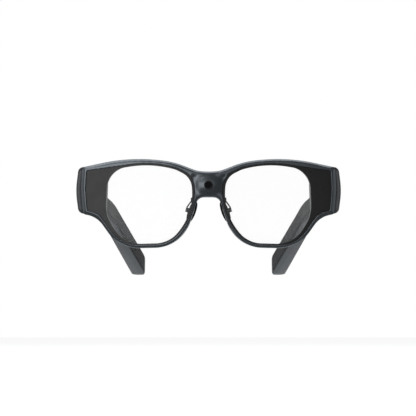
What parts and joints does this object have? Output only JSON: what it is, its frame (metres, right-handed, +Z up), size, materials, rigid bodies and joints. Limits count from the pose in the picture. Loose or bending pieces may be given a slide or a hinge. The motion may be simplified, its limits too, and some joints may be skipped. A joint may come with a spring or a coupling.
{
  "type": "smart glasses",
  "caption": "Glasses with a full front frame, a camera in the bridge, clear lenses with opaque side panels over display optics, and two thick folding temples with nose pads.",
  "frame": {"origin": "centre of the bounding box at the height of the table the open glasses stand on", "axes": "+X to the wearer's left, +Y back towards the ears, +Z up"},
  "size_m": [0.1582, 0.1652, 0.0506],
  "materials": {
    "frame": "satin blue-grey",
    "temple": "satin dark grey",
    "inner_cover": "matte",
    "panel": "satin black",
    "lens": "clear",
    "optics": "clear",
    "camera": "glossy black",
    "ring": "black anodised",
    "module": "matte black",
    "flex": "polyimide",
    "board": "solder mask",
    "steel": "brushed",
    "silicone": "matte",
    "battery": "foil",
    "gold": "plated",
    "button": "satin"
  },
  "bodies": {
    "front": {"front_frame": "frame", "brow_cover": "frame", "camera_ring": "ring", "camera_window": "camera", "camera_barrel": "module", "camera_board": "board", "front_flex": "flex", "hinge_screws": "steel", "pad_screws": "steel", "left_lens": "lens", "right_lens": "lens", "left_side_panel": "panel", "right_side_panel": "panel", "left_housing": "temple", "right_housing": "temple", "left_prism": "optics", "right_prism": "optics", "left_light_engine": "module", "right_light_engine": "module", "left_microdisplay": "module", "right_microdisplay": "module", "left_front_leaf": "steel", "right_front_leaf": "steel", "left_hinge_pin": "steel", "right_hinge_pin": "steel", "left_pad_arm": "steel", "right_pad_arm": "steel"},
    "left_temple": {"left_temple_shell": "temple", "left_temple_cover": "inner_cover", "left_temple_leaf": "steel", "left_temple_screws": "steel", "left_circuit_board": "board", "left_battery": "battery", "left_speaker": "module"},
    "right_temple": {"right_temple_shell": "temple", "right_temple_cover": "inner_cover", "right_temple_leaf": "steel", "right_temple_screws": "steel", "right_circuit_board": "board", "right_battery": "battery", "right_speaker": "module", "button_switch": "module", "touch_strip": "flex", "charging_contacts": "gold"},
    "left_pad": {"left_nose_pad": "silicone", "left_pad_core": "module"},
    "right_pad": {"right_nose_pad": "silicone", "right_pad_core": "module"},
    "power_button": {"power_button": "button"}
  },
  "joints": [
    {"name": "left_hinge", "type": "hinge", "parent": "front", "child": "left_temple", "pos_m": [0.0677, -0.05432, 0.034], "axis": [0, 0, 1], "range_deg": [0, 85]},
    {"name": "right_hinge", "type": "hinge", "parent": "front", "child": "right_temple", "pos_m": [-0.0677, -0.05432, 0.034], "axis": [0, 0, -1], "range_deg": [0, 73]},
    {"name": "left_pad_rock", "type": "hinge", "parent": "front", "child": "left_pad", "pos_m": [0.0116, -0.06681, 0.02249], "axis": [-0.4481, -0.8259, -0.3423], "range_deg": [-10, 10]},
    {"name": "right_pad_rock", "type": "hinge", "parent": "front", "child": "right_pad", "pos_m": [-0.0116, -0.06681, 0.02249], "axis": [0.4481, -0.8259, -0.3423], "range_deg": [-10, 10]},
    {"name": "power_button_press", "type": "slide", "parent": "right_temple", "child": "power_button", "axis": [0, 0, 1], "range_m": [0, 0.0004], "stiffness_N_per_m": 3000}
  ]
}
